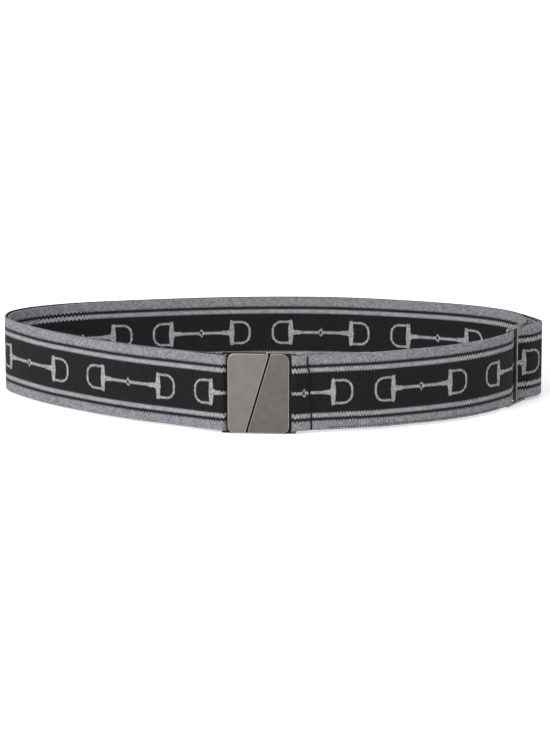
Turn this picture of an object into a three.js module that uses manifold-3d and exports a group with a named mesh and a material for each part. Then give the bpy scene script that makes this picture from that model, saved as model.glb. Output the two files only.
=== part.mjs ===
// Stretch belt, fastened and standing on its lower edge: one woven elastic strap,
// a two-part interlocking metal buckle and a three-bar metal slide.
// Millimetres, +Z up. The buckle faces -Y and the origin is the middle of the floor print.

import * as THREE from 'three'
import { mergeVertices } from 'three/addons/utils/BufferGeometryUtils.js'
import Module from 'manifold-3d'

const wasm = await Module()
wasm.setup()

// Driving sizes
const strap = { width: 40, thick: 1.2, gap: 0.3, wrapGap: 0.45, step: 2.2 }
const buckle = {
  x: -7.0,
  y: -79.9,
  turn: THREE.MathUtils.degToRad(-4.7),
  faceLeft: 16.1,
  faceRight: 15.2,
  faceHeight: 42,
  faceThick: 1.8,
  faceEdge: 0.35,
  frameWidth: 38.9,
  frameHeight: 43,
  frameThick: 1.6,
  frameEdge: 0.4,
  railHeight: 1.2,
  barRadius: 0.55,
  slotInner: 16.45,
  joinTop: 6.0,
  joinBottom: -7.0,
  joinGap: 1.0,
  joinUnderlap: 1.7,
}
const corner = {
  leftLow: 3.2,
  leftHigh: 3.6,
  rightLow: 3.7,
  rightHigh: 3.8,
  sharp: 0.9,
  blunt: 1.2,
  slot: 0.3,
}
const hook = {
  fromU: 8,
  toU: -9,
  low: 14.5,
  high: 28.5,
  thick: 1.2,
  rootWide: 3,
  lip: 1.6,
  room: 0.4,
}
const slide = {
  x: 130.9,
  y: -10.1,
  turn: THREE.MathUtils.degToRad(60.8),
  barPitch: 10.9,
  barWide: 1.6,
  thick: 1.6,
  height: 43,
  railHeight: 1.2,
  corner: 1.4,
  edge: 0.4,
}

// The strap hangs in the buckle and the slide, clear of the floor, and meets it at the back left
const lift = { atBuckle: 1.5, perMmRight: 0.00434, perMmBack: -0.008 }
const tail = { length: 39, closeOver: 26, rise: 0.8, riseFrom: 2, riseOver: 6 }
const innerCloseOver = 24
const slideTail = { length: 28, closeOver: 8, stepOver: 6 }
const wrapSteps = 8

const unit = (angle) => new THREE.Vector2(Math.cos(angle), Math.sin(angle))
const away = (point, direction, distance) => point.clone().addScaledVector(direction, distance)
const quarterLeft = (v) => new THREE.Vector2(-v.y, v.x)
const smooth = (t) => THREE.MathUtils.smoothstep(t, 0, 1)

// Where the strap's layers run beside a bar
const layerPitch = strap.thick + strap.gap
const barReach = buckle.barRadius + strap.wrapGap + strap.thick / 2
const slideReach = slide.barWide / 2 + strap.wrapGap + strap.thick / 2
const barDepth = buckle.faceThick + buckle.frameThick / 2

// Middle line of the outer layer in plan, from the right end of the buckle round to its left end
const route = [
  { at: 'right seam', x: 20.6, y: -77.7 },
  { at: 'right front', x: 37.1, y: -74.6 },
  { at: 'right front', x: 53.7, y: -70.9 },
  { at: 'right front', x: 70.5, y: -64.6 },
  { at: 'right front', x: 87.6, y: -57.2 },
  { at: 'right front', x: 104.8, y: -46.4 },
  { at: 'before slide', x: 118.3, y: -33.4 },
  { at: 'over near bar', bar: -1, out: slideReach },
  { at: 'between bars', bar: -0.42, out: -0.2 },
  { at: 'under middle bar', bar: 0, out: -slideReach },
  { at: 'between bars', bar: 0.45, out: 0.4 },
  { at: 'over far bar', bar: 1, out: slideReach + layerPitch },
  { at: 'right end', x: 145.6, y: 7.5 },
  { at: 'right end', x: 143.9, y: 14.5 },
  { at: 'right end', x: 138.2, y: 25.3 },
  { at: 'back right', x: 129.3, y: 39.0 },
  { at: 'back right', x: 116.4, y: 49.8 },
  { at: 'back right', x: 98.8, y: 59.2 },
  { at: 'back', x: 63.2, y: 71.6 },
  { at: 'back', x: 31.6, y: 78.6 },
  { at: 'back', x: -10.0, y: 80.3 },
  { at: 'back', x: -50.0, y: 76.7 },
  { at: 'back left', x: -85.9, y: 70.1 },
  { at: 'back left', x: -103.7, y: 65.5 },
  { at: 'back left', x: -121.4, y: 58.1 },
  { at: 'left end', x: -134.9, y: 49.8 },
  { at: 'left end', x: -143.8, y: 39.7 },
  { at: 'left end', x: -145.9, y: 29.0 },
  { at: 'left end', x: -144.4, y: 19.2 },
  { at: 'left front', x: -139.3, y: 10.2 },
  { at: 'left front', x: -124.5, y: -7.9 },
  { at: 'left front', x: -106.2, y: -25.0 },
  { at: 'left front', x: -88.4, y: -39.8 },
  { at: 'left front', x: -71.1, y: -52.0 },
  { at: 'left front', x: -54.0, y: -61.8 },
  { at: 'left front', x: -37.1, y: -71.4 },
]

function bucklePoint(u, v) {
  const turned = new THREE.Vector2(u, v).rotateAround(new THREE.Vector2(), buckle.turn)
  return turned.add(new THREE.Vector2(buckle.x, buckle.y))
}

const barU = buckle.frameWidth / 2 - buckle.barRadius
const leftBar = bucklePoint(-barU, barDepth)
const rightBar = bucklePoint(barU, barDepth)
const slideAlong = unit(slide.turn)
const slideOut = quarterLeft(slideAlong).negate()

// A point beside the slide: a number of bars along it from its middle, and so far outside it
function slidePoint(bar, out) {
  const centre = away(new THREE.Vector2(slide.x, slide.y), slideAlong, bar * slide.barPitch)
  return away(centre, slideOut, out)
}

// The arc of a layer round a bar, from one heading to another
function wrapRound(centre, radius, from, to) {
  return Array.from({ length: wrapSteps + 1 }, (_, i) => {
    const angle = THREE.MathUtils.lerp(from, to, i / wrapSteps)
    return away(centre, unit(angle), radius)
  })
}

// The angle from a bar to the point where a straight run from outside touches its wrap
function touchAngle(centre, radius, from, side) {
  const reach = from.clone().sub(centre)
  return reach.angle() + side * Math.acos(radius / reach.length())
}

function sampleRoute() {
  const place = (row) => ('bar' in row ? slidePoint(row.bar, row.out) : new THREE.Vector2(row.x, row.y))
  const known = route.map(place)
  const rightTouch = touchAngle(rightBar, barReach, known[0], -1)
  const leftTouch = touchAngle(leftBar, barReach, known[known.length - 1], 1)
  const start = away(rightBar, unit(rightTouch), barReach)
  const end = away(leftBar, unit(leftTouch), barReach)
  const points = [start, ...known, end].map((p) => new THREE.Vector3(p.x, p.y, 0))
  const curve = new THREE.CatmullRomCurve3(points, false, 'centripetal')
  curve.arcLengthDivisions = 2000
  const steps = Math.round(curve.getLength() / strap.step)
  const line = curve.getSpacedPoints(steps).map((p) => new THREE.Vector2(p.x, p.y))
  return { line, rightTouch, leftTouch }
}

// Unit vectors to the left of travel at each point of a line
function sideways(line) {
  return line.map((_, i) => {
    const before = line[Math.max(i - 1, 0)]
    const after = line[Math.min(i + 1, line.length - 1)]
    return quarterLeft(after.clone().sub(before).normalize())
  })
}

// The length travelled up to each point of a line
function distances(line) {
  let total = 0
  return line.map((point, i) => {
    total += i ? point.distanceTo(line[i - 1]) : 0
    return total
  })
}

// A line beside another, at a distance that may change with the length travelled
function beside(line, distanceAt) {
  const sides = sideways(line)
  const run = distances(line)
  return line.map((point, i) => away(point, sides[i], distanceAt(run[i])))
}

function upTo(line, length) {
  const run = distances(line)
  return line.filter((_, i) => run[i] <= length)
}

function nearestIndex(line, target) {
  const gaps = line.map((point) => point.distanceTo(target))
  return gaps.indexOf(Math.min(...gaps))
}

// The whole strap as stations: a plan point, and how far its edge is raised above the other layer
function strapStations() {
  const { line, rightTouch, leftTouch } = sampleRoute()
  const parting = 2 * barReach - layerPitch
  const level = (points) => points.map((point) => ({ point, rise: 0 }))

  // The sewn end at the right of the buckle, inside the outer layer
  const tailGap = (s) => layerPitch + parting * (1 - smooth(s / tail.closeOver))
  const rightTail = beside(upTo(line, tail.length), tailGap)
  const tailRun = distances(rightTail)
  const tailStations = rightTail.map((point, i) => ({
    point,
    rise: tail.rise * smooth((tailRun[i] - tail.riseFrom) / tail.riseOver),
  }))
  const rightWrap = wrapRound(rightBar, barReach, rightTouch - Math.PI, rightTouch)

  // The layer that comes back from the left of the buckle, inside the outer one.
  // Near the slide it steps in over its own folded end, then passes inside the far bar.
  const backwards = [...line].reverse()
  const farIndex = nearestIndex(backwards, slidePoint(1, slideReach + layerPitch))
  const innerLine = backwards.slice(0, farIndex + 1)
  const innerLength = distances(innerLine)[farIndex]
  const slideParting = 2 * slideReach - layerPitch
  const innerGap = (s) => {
    const left = innerLength - s
    const fromBuckle = parting * (1 - smooth(s / innerCloseOver))
    const overEnd = layerPitch * (1 - smooth((left - slideTail.length) / slideTail.stepOver))
    const toBar = slideParting * (1 - smooth(left / slideTail.closeOver))
    return layerPitch + fromBuckle + overEnd + toBar
  }
  const inner = beside(innerLine, (s) => -innerGap(s))
  const leftWrap = wrapRound(leftBar, barReach, leftTouch, leftTouch + Math.PI)

  // Its end, folded round the far bar of the slide and sewn between the two layers
  const inAngle = slideOut.angle() + Math.PI
  const farWrap = wrapRound(slidePoint(1, 0), slideReach, inAngle, inAngle + Math.PI)
  const onward = line.slice(line.length - 1 - farIndex)
  const end = beside(upTo(onward, slideTail.length), () => layerPitch)

  return [
    ...tailStations.slice(1).reverse(),
    ...level(rightWrap),
    ...level(line.slice(1, -1)),
    ...level(leftWrap),
    ...level(inner.slice(1, -1)),
    ...level(farWrap),
    ...level(end.slice(1)),
  ]
}

function liftAt(point) {
  const right = point.x - buckle.x
  const back = point.y - buckle.y
  return Math.max(0, lift.atBuckle + lift.perMmRight * right + lift.perMmBack * back)
}

// The strap as one closed band: four corners at each station, joined along and capped at both ends
function strapGeometry() {
  const stations = strapStations()
  const sides = sideways(stations.map(({ point }) => point))
  const half = strap.thick / 2
  const vertices = stations.flatMap(({ point, rise }, i) => {
    const low = liftAt(point) + rise
    const high = low + strap.width
    const left = away(point, sides[i], half)
    const right = away(point, sides[i], -half)
    return [left.x, left.y, low, right.x, right.y, low, right.x, right.y, high, left.x, left.y, high]
  })
  const faces = []
  const corners = 4
  for (let i = 0; i + 1 < stations.length; i += 1) {
    for (let c = 0; c < corners; c += 1) {
      const a = i * corners + c
      const b = i * corners + ((c + 1) % corners)
      faces.push(a, b, a + corners, b, b + corners, a + corners)
    }
  }
  const last = (stations.length - 1) * corners
  faces.push(0, 2, 1, 0, 3, 2, last, last + 1, last + 2, last, last + 2, last + 3)
  const geometry = new THREE.BufferGeometry()
  geometry.setAttribute('position', new THREE.Float32BufferAttribute(vertices, 3))
  geometry.setIndex(faces.reverse())
  return geometry
}

// An outline of straight sides with a rounded corner at each row
function roundedOutline(corners) {
  const shape = new THREE.Shape()
  corners.forEach(({ u, z, r }, i) => {
    const before = corners[(i + corners.length - 1) % corners.length]
    const after = corners[(i + 1) % corners.length]
    const here = new THREE.Vector2(u, z)
    const back = new THREE.Vector2(before.u, before.z).sub(here).normalize()
    const onward = new THREE.Vector2(after.u, after.z).sub(here).normalize()
    const halfAngle = Math.acos(back.dot(onward)) / 2
    const middle = back.clone().add(onward).normalize()
    const centre = away(here, middle, r / Math.sin(halfAngle))
    const start = away(here, back, r / Math.tan(halfAngle)).sub(centre).angle()
    const end = away(here, onward, r / Math.tan(halfAngle)).sub(centre).angle()
    shape.absarc(centre.x, centre.y, r, start, end, false)
  })
  return shape
}

// A plate of that outline from its front face back, with its edges cut at 45 degrees
function slab(shape, front, thick, edge) {
  const options = {
    depth: thick - 2 * edge,
    bevelEnabled: edge > 0,
    bevelThickness: edge,
    bevelSize: edge,
    bevelOffset: -edge,
    bevelSegments: 1,
    curveSegments: 4,
  }
  const geometry = new THREE.ExtrudeGeometry(shape, options)
  geometry.rotateX(Math.PI / 2)
  geometry.translate(0, front + thick - edge, 0)
  return geometry
}

function block(uLow, uHigh, vLow, vHigh, zLow, zHigh) {
  const geometry = new THREE.BoxGeometry(uHigh - uLow, vHigh - vLow, zHigh - zLow)
  geometry.translate((uLow + uHigh) / 2, (vLow + vHigh) / 2, (zLow + zHigh) / 2)
  return geometry
}

function toSolid(geometry) {
  const bare = geometry.clone()
  bare.deleteAttribute('normal')
  bare.deleteAttribute('uv')
  const merged = mergeVertices(bare, 1e-4)
  return new wasm.Manifold(
    new wasm.Mesh({
      numProp: 3,
      vertProperties: new Float32Array(merged.attributes.position.array),
      triVerts: new Uint32Array(merged.index.array),
    }),
  )
}

function toGeometry(solid) {
  const mesh = solid.getMesh()
  const geometry = new THREE.BufferGeometry()
  geometry.setAttribute('position', new THREE.Float32BufferAttribute(mesh.vertProperties, 3))
  geometry.setIndex([...mesh.triVerts])
  geometry.computeVertexNormals()
  return geometry
}

// The slanting line where the two faces meet, at a height
function joinAt(z) {
  return THREE.MathUtils.mapLinear(z, 0, buckle.frameHeight, buckle.joinBottom, buckle.joinTop)
}

// The front of one half of the buckle: side -1 is the left half, 1 the right, wider at the join by extra
function buckleFace(side, extra = 0) {
  const low = (buckle.frameHeight - buckle.faceHeight) / 2
  const high = low + buckle.faceHeight
  const gap = side * (buckle.joinGap / 2 - extra)
  const outer = side < 0 ? -buckle.faceLeft : buckle.faceRight
  const left = [
    { u: outer, z: low, r: corner.leftLow },
    { u: joinAt(low) + gap, z: low, r: corner.sharp },
    { u: joinAt(high) + gap, z: high, r: corner.blunt },
    { u: outer, z: high, r: corner.leftHigh },
  ]
  const right = [
    { u: joinAt(low) + gap, z: low, r: corner.blunt },
    { u: outer, z: low, r: corner.rightLow },
    { u: outer, z: high, r: corner.rightHigh },
    { u: joinAt(high) + gap, z: high, r: corner.sharp },
  ]
  return roundedOutline(side < 0 ? left : right)
}

function slot(uLow, uHigh, zLow, zHigh) {
  return roundedOutline([
    { u: uLow, z: zLow, r: corner.slot },
    { u: uHigh, z: zLow, r: corner.slot },
    { u: uHigh, z: zHigh, r: corner.slot },
    { u: uLow, z: zHigh, r: corner.slot },
  ])
}

// The frame behind that half: its bar and rails at the outside, and a slanting edge under the left face
function buckleFrame(side) {
  const outer = (side * buckle.frameWidth) / 2
  const inset = (side * strap.gap) / 2 - buckle.joinUnderlap
  const top = buckle.frameHeight
  const lowOuter = { u: outer, z: 0, r: corner.blunt }
  const lowJoin = { u: joinAt(0) + inset, z: 0, r: corner.sharp }
  const topJoin = { u: joinAt(top) + inset, z: top, r: corner.sharp }
  const topOuter = { u: outer, z: top, r: corner.blunt }
  const left = [lowOuter, lowJoin, topJoin, topOuter]
  const right = [lowJoin, lowOuter, topOuter, topJoin]
  const shape = roundedOutline(side < 0 ? left : right)
  const slotEnds = [side * (buckle.frameWidth / 2 - 2 * buckle.barRadius), side * buckle.slotInner]
  const rail = buckle.railHeight
  shape.holes.push(slot(Math.min(...slotEnds), Math.max(...slotEnds), rail, top - rail))
  return shape
}

const bodyFront = buckle.faceThick
const bodyBack = buckle.faceThick + buckle.frameThick
// How far joined shapes reach into each other
const sink = 0.2
const pocketFront = bodyFront + 2 * sink

function halfShapes(side) {
  const face = toSolid(slab(buckleFace(side), 0, buckle.faceThick + sink, buckle.faceEdge))
  const frame = toSolid(slab(buckleFrame(side), bodyFront, buckle.frameThick, buckle.frameEdge))
  return { face, frame }
}

// The left half, with the pocket that takes the hook's lip
function buckleLeft() {
  const { face, frame } = halfShapes(-1)
  const uLow = hook.toU - hook.room
  const uHigh = hook.toU + hook.lip + hook.room
  const zLow = hook.low - hook.room
  const zHigh = hook.high + hook.room
  const open = block(uLow, uHigh, pocketFront, bodyBack + sink, zLow, zHigh)
  return toGeometry(face.add(frame).subtract(toSolid(open)))
}

// The right half, with the hook that reaches behind the left one
function buckleRight() {
  const { face, frame } = halfShapes(1)
  const behind = bodyBack + strap.gap
  const back = behind + hook.thick
  const clear = buckle.faceThick + sink + strap.gap
  const underLeft = toSolid(slab(buckleFace(-1, strap.gap), 0, clear, 0))
  const rootU = hook.fromU - hook.rootWide
  const root = block(rootU, hook.fromU, bodyBack - sink, back, hook.low, hook.high)
  const tongue = block(hook.toU, hook.fromU, behind, back, hook.low, hook.high)
  const lipU = hook.toU + hook.lip
  const lip = block(hook.toU, lipU, pocketFront + strap.gap, behind + sink, hook.low, hook.high)
  const joined = (solid, part) => solid.add(toSolid(part))
  const withHook = [root, tongue, lip].reduce(joined, frame.subtract(underLeft))
  return toGeometry(face.add(withHook))
}

function slideFrame() {
  const half = slide.barPitch + slide.barWide / 2
  const outline = roundedOutline([
    { u: -half, z: 0, r: slide.corner },
    { u: half, z: 0, r: slide.corner },
    { u: half, z: slide.height, r: slide.corner },
    { u: -half, z: slide.height, r: slide.corner },
  ])
  const halfSlot = (slide.barPitch - slide.barWide) / 2
  for (const middle of [-slide.barPitch / 2, slide.barPitch / 2]) {
    const high = slide.height - slide.railHeight
    outline.holes.push(slot(middle - halfSlot, middle + halfSlot, slide.railHeight, high))
  }
  return toGeometry(toSolid(slab(outline, -slide.thick / 2, slide.thick, slide.edge)))
}

const pewter = new THREE.MeshStandardMaterial({ color: 0x87837c, metalness: 0.9, roughness: 0.45 })
const darkPewter = new THREE.MeshStandardMaterial({ color: 0x7a7368, metalness: 0.9, roughness: 0.4 })
const elastic = new THREE.MeshStandardMaterial({ color: 0x2a2a2e, metalness: 0, roughness: 0.95 })

function piece(name, geometry, material) {
  const mesh = new THREE.Mesh(geometry, material)
  mesh.name = name
  return mesh
}

const belt = new THREE.Group()
belt.add(piece('strap', strapGeometry(), elastic))

const buckleGroup = new THREE.Group()
buckleGroup.position.set(buckle.x, buckle.y, 0)
buckleGroup.rotation.z = buckle.turn
buckleGroup.add(piece('buckle_left', buckleLeft(), pewter))
buckleGroup.add(piece('buckle_right', buckleRight(), pewter))
belt.add(buckleGroup)

const slideMesh = piece('slide', slideFrame(), darkPewter)
slideMesh.position.set(slide.x, slide.y, 0)
slideMesh.rotation.z = slide.turn
belt.add(slideMesh)

export default belt
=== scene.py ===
# %% [markdown]
# # A stretch belt, fastened and standing on its edge
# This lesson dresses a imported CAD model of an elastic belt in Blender.
# The real belt is one woven elastic strap, a metal buckle in two halves that hook together,
# and a three-bar metal slide that sets the length.
# The CAD model holds the sizes and places, so each new piece is built where its CAD piece stands.

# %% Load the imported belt
import math

import bmesh
import bpy
from mathutils import Matrix, Vector
from mathutils.geometry import interpolate_bezier


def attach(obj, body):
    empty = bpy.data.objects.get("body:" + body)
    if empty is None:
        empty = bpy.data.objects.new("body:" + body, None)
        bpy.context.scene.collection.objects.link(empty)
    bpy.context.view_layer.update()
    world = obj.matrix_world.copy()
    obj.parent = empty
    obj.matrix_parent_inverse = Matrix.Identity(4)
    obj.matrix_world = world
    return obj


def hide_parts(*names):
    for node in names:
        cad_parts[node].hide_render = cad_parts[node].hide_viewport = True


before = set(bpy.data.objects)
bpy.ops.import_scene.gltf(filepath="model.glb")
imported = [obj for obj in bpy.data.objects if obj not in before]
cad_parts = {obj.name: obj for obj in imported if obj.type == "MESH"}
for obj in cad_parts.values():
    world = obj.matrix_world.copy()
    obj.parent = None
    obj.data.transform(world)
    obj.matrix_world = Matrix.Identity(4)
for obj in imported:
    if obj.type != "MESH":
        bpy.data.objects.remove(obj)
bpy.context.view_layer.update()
MM = 0.001
print("CAD pieces:", sorted(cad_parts))

# %% [markdown]
# ## The camera
# A product photo like this one is taken from far away with a long lens, a little above the belt.
# The two edges of the strap, near and far, give the angle: a circle seen at 13 degrees is this flat.
# The camera is placed by angle and distance from a point at the front of the belt, and tips up
# slightly, so that this point shows below the middle of the picture.

# %% Camera
LOOKING_DOWN = math.radians(13.0)
DISTANCE = 1700 * MM
PICTURE_HEIGHT = 733
FOCAL_LENGTH_PX = 3252.6
AIM_ROW = 387.5
aim = Vector((1.5, -59.0, 20.0)) * MM

camera_data = bpy.data.cameras.new("camera")
camera_data.sensor_width = 36.0
camera_data.lens = FOCAL_LENGTH_PX * camera_data.sensor_width / PICTURE_HEIGHT
camera = bpy.data.objects.new("camera", camera_data)
bpy.context.scene.collection.objects.link(camera)
camera.location = aim + DISTANCE * Vector((0, -math.cos(LOOKING_DOWN), math.sin(LOOKING_DOWN)))
tip_up = math.atan((AIM_ROW - PICTURE_HEIGHT / 2) / FOCAL_LENGTH_PX)
camera.rotation_euler = (math.pi / 2 - LOOKING_DOWN + tip_up, 0, 0)
bpy.context.scene.camera = camera
print(f"lens {camera_data.lens:.1f} mm, tipped up {math.degrees(tip_up):.2f} degrees")

# %% [markdown]
# ## Floor and light
# The belt stands on a plain white sweep. An even white sky fills all shadows, and one large soft
# light from the left front makes the left of the strap a little lighter than the right.
# The floor is lit past white, and also a little from below as a light table is, so only the places
# close to the belt show a soft shadow.

# %% Floor and light
WHITE = (1.0, 1.0, 1.0, 1.0)
SKY = {"Color": WHITE, "Strength": 0.82}
KEY_LIGHT = {"place": (-1.3, -1.5, 1.25), "size": 1.1, "watts": 42.0}
FLOOR_SIDE = 24.0
SWEEP = {"Base Color": (0.86, 0.86, 0.86, 1.0), "Roughness": 0.9}
SWEEP_GLOW = {"Emission Color": WHITE, "Emission Strength": 0.35}


def link_object(name, data):
    obj = bpy.data.objects.new(name, data)
    bpy.context.scene.collection.objects.link(obj)
    return obj


def set_inputs(node, values):
    for name, value in values.items():
        node.inputs[name].default_value = value


def mesh_object(name, bm, material):
    mesh = bpy.data.meshes.new(name)
    bm.to_mesh(mesh)
    bm.free()
    mesh.materials.append(material)
    return link_object(name, mesh)


def new_material(name):
    material = bpy.data.materials.new(name)
    material.use_nodes = True
    tree = material.node_tree
    return material, tree, tree.nodes["Principled BSDF"]


def make_floor():
    bm = bmesh.new()
    bmesh.ops.create_grid(bm, x_segments=1, y_segments=1, size=FLOOR_SIDE / 2)
    sweep, _, shader = new_material("white_sweep")
    set_inputs(shader, SWEEP | SWEEP_GLOW)
    mesh_object("floor", bm, sweep)


def make_lights():
    world = bpy.data.worlds.new("studio")
    world.use_nodes = True
    set_inputs(world.node_tree.nodes["Background"], SKY)
    bpy.context.scene.world = world
    light = bpy.data.lights.new("key_light", "AREA")
    light.size = KEY_LIGHT["size"]
    light.energy = KEY_LIGHT["watts"]
    key = link_object("key_light", light)
    key.location = KEY_LIGHT["place"]
    key.rotation_euler = (-Vector(KEY_LIGHT["place"])).to_track_quat("-Z", "Y").to_euler()


bpy.context.scene.view_settings.view_transform = "Standard"
make_floor()
make_lights()
print("floor and light are set")

# %% [markdown]
# ## The route of the strap
# One strap makes the whole belt. It starts as a sewn end inside the right front, folds round the bar
# at the right of the buckle, goes through the slide and once round the waist, folds round the
# bar at the left of the buckle, and runs back inside itself to the slide. There it folds round
# the far bar, and its end is sewn down between the two layers.
# A route like this could be drawn as a Blender curve. Here it is worked out from a short table,
# the one that the CAD source uses but for one row by the slide, so that both lie in one place.
# Sizes in this part are millimetres, and the finished pieces are scaled to metres at the end.

# %% Sizes of strap, buckle and slide
STRAP = {"width": 40.0, "thick": 1.2, "gap": 0.3, "wrap_gap": 0.35, "step": 1.0}
BUCKLE = {"x": -7.0, "y": -79.9, "turn": math.radians(-4.7), "frame_width": 38.9}
BUCKLE.update(face_left=-16.1, face_right=15.75, face_height=42.0, face_thick=1.8)
BUCKLE.update(frame_height=43.0, frame_thick=1.6, bar=1.1, rail=1.2)
BUCKLE.update(slot_inner=16.77, join_top=6.0, join_bottom=-6.6, join_gap=1.0)
BUCKLE.update(join_underlap=1.7, hook_from=8.0, hook_to=-9.0, hook_low=14.5, hook_high=28.5)
SLIDE = {"x": 130.9, "y": -10.1, "turn": math.radians(60.8), "bar_pitch": 10.9, "bar": 1.6}
SLIDE.update(thick=1.6, height=43.0, rail=1.4, corner=1.4)
LIFT = {"at_buckle": 1.5, "per_mm_right": 0.00434, "per_mm_back": -0.008}
RIGHT_TAIL = {"length": 39.0, "close_over": 26.0}
RIGHT_TAIL.update(rise=0.8, rise_from=2.0, rise_over=6.0, fall_from=12.0, fall_over=20.0)
SLIDE_TAIL = {"length": 28.0, "close_over": 8.0, "step_over": 6.0}
INNER_CLOSE_OVER = 24.0
INNER_DIP = {"most": 0.3, "over": 8.0, "until": 30.0, "end_over": 15.0}
WRAP_STEPS = 14
layer_pitch = STRAP["thick"] + STRAP["gap"]
bar_reach = BUCKLE["bar"] / 2 + STRAP["wrap_gap"] + STRAP["thick"] / 2
slide_reach = SLIDE["bar"] / 2 + STRAP["wrap_gap"] + STRAP["thick"] / 2
print(f"layers are {layer_pitch:.1f} mm apart")

# %% Points of the route
to_buckle = Matrix.Translation((BUCKLE["x"], BUCKLE["y"], 0)) @ Matrix.Rotation(BUCKLE["turn"], 4, "Z")
to_slide = Matrix.Translation((SLIDE["x"], SLIDE["y"], 0)) @ Matrix.Rotation(SLIDE["turn"], 4, "Z")
bar_across = BUCKLE["frame_width"] / 2 - BUCKLE["bar"] / 2
bar_back = BUCKLE["face_thick"] + BUCKLE["frame_thick"] / 2
right_bar = to_buckle @ Vector((bar_across, bar_back, 0))
left_bar = to_buckle @ Vector((-bar_across, bar_back, 0))


def slide_point(bar, out):
    """A point beside the slide: so many bars along it from its middle, and so far outside it."""
    return to_slide @ Vector((bar * SLIDE["bar_pitch"], -out, 0))


def on_floor(*rows):
    return [Vector((x, y, 0)) for row in rows for x, y in row]


RIGHT_FRONT = [(20.6, -77.7), (37.1, -74.6), (53.7, -70.9), (70.5, -64.6), (87.6, -57.2), (104.8, -46.4)]
BEFORE_SLIDE = [(118.3, -33.4)]
RIGHT_END = [(145.6, 7.5), (143.9, 14.5), (138.2, 25.3)]
BACK_RIGHT = [(129.3, 39.0), (116.4, 49.8), (98.8, 59.2)]
BACK = [(63.2, 71.6), (31.6, 78.6), (-10.0, 80.3), (-50.0, 76.7)]
BACK_LEFT = [(-85.9, 70.1), (-103.7, 65.5), (-121.4, 58.1)]
LEFT_END = [(-134.9, 49.8), (-143.8, 39.7), (-145.9, 29.0), (-144.4, 19.2)]
LEFT_FRONT = [(-139.3, 10.2), (-124.5, -7.9), (-106.2, -25.0), (-88.4, -39.8)]
LEFT_OF_BUCKLE = [(-71.1, -52.0), (-54.0, -61.8), (-37.1, -71.4)]
through_slide = [
    slide_point(-1, slide_reach),
    slide_point(-0.42, -0.2),
    slide_point(0, -slide_reach),
    slide_point(0.42, -0.7),
    slide_point(1, slide_reach + layer_pitch),
]
route = [
    *on_floor(RIGHT_FRONT, BEFORE_SLIDE),
    *through_slide,
    *on_floor(RIGHT_END, BACK_RIGHT, BACK, BACK_LEFT, LEFT_END, LEFT_FRONT, LEFT_OF_BUCKLE),
]
print(f"the route has {len(route)} points")

# %% [markdown]
# ## From points to an even line
# The strap bends smoothly through the route's points. A Catmull-Rom curve passes through all of them.
# Each stretch of it is the same as a Bezier stretch with known handles, and Blender has a
# function for those, so only the handles are worked out here.
# The line is then stepped off evenly, as a tape measure would.

# %% Line helpers
def smooth(t):
    """0 below 0, 1 above 1, and an easy S between."""
    t = min(max(t, 0.0), 1.0)
    return t * t * (3 - 2 * t)


def unit(angle):
    return Vector((math.cos(angle), math.sin(angle), 0))


def curve_through(points, detail=60):
    """A centripetal Catmull-Rom curve through the points."""
    padded = [2 * points[0] - points[1], *points, 2 * points[-1] - points[-2]]
    line = [points[0]]
    for a, b, c, d in zip(padded, padded[1:], padded[2:], padded[3:]):
        lead, span, trail = (math.sqrt((q - p).length) for p, q in ((a, b), (b, c), (c, d)))
        leave = span * ((b - a) / lead - (c - a) / (lead + span) + (c - b) / span)
        arrive = span * ((c - b) / span - (d - b) / (span + trail) + (d - c) / trail)
        line += interpolate_bezier(b, b + leave / 3, c - arrive / 3, c, detail)[1:]
    return line


def distances(line):
    """The length travelled up to each point."""
    run = [0.0]
    for here, there in zip(line, line[1:]):
        run.append(run[-1] + (there - here).length)
    return run


def even_steps(line, step):
    """The same line in equal steps of about that length."""
    run = distances(line)
    count = round(run[-1] / step)
    even = []
    i = 0
    for k in range(count + 1):
        target = run[-1] * k / count
        while i < len(run) - 2 and run[i + 1] < target:
            i += 1
        share = (target - run[i]) / (run[i + 1] - run[i])
        even.append(line[i].lerp(line[i + 1], share))
    return even


def sideways(line):
    """Unit vectors to the left of travel."""
    ends = zip([line[0], *line[:-1]], [*line[1:], line[-1]])
    headings = [(there - here).normalized() for here, there in ends]
    return [Vector((-h.y, h.x, 0)) for h in headings]


def beside(line, offset_at):
    """A line beside another, at an offset that may change with the length travelled."""
    moves = zip(line, sideways(line), distances(line))
    return [point + side * offset_at(run) for point, side, run in moves]


def up_to(line, length):
    return [point for point, run in zip(line, distances(line)) if run <= length]


def wrap_round(centre, radius, start, end):
    angles = [start + (end - start) * i / WRAP_STEPS for i in range(WRAP_STEPS + 1)]
    return [centre + radius * unit(angle) for angle in angles]


def touch_angle(centre, radius, start, side):
    """The angle at which a straight run from start touches a round bar."""
    reach = start - centre
    return math.atan2(reach.y, reach.x) + side * math.acos(radius / reach.length)


# %% The outer layer
right_touch = touch_angle(right_bar, bar_reach, route[0], -1)
left_touch = touch_angle(left_bar, bar_reach, route[-1], 1)
ends = [right_bar + bar_reach * unit(right_touch), left_bar + bar_reach * unit(left_touch)]
outer = even_steps(curve_through([ends[0], *route, ends[1]]), STRAP["step"])
print(f"the outer layer is {distances(outer)[-1]:.0f} mm long, in {len(outer)} stations")

# %% [markdown]
# ## The layers as stations
# A station is a place along the strap: a point of its middle line, and how far its edge stands
# above the floor. The sewn end at the right and the whole inner layer lie beside the outer one,
# so they are made from the same line with an offset that opens towards the bars.
# At the back, and most of all at the left end, the outer layer rides a little higher than the
# inner one, so its dark reverse shows as a thin line along the top.

# %% Stations of the whole strap
# Where a rise starts along the outer layer, the length it takes, and what it adds
BACK_RISES = [(236.0, 60.0, 0.15), (430.0, 60.0, 0.4), (520.0, 50.0, -0.55)]
parting = 2 * bar_reach - layer_pitch
slide_parting = 2 * slide_reach - layer_pitch


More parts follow.
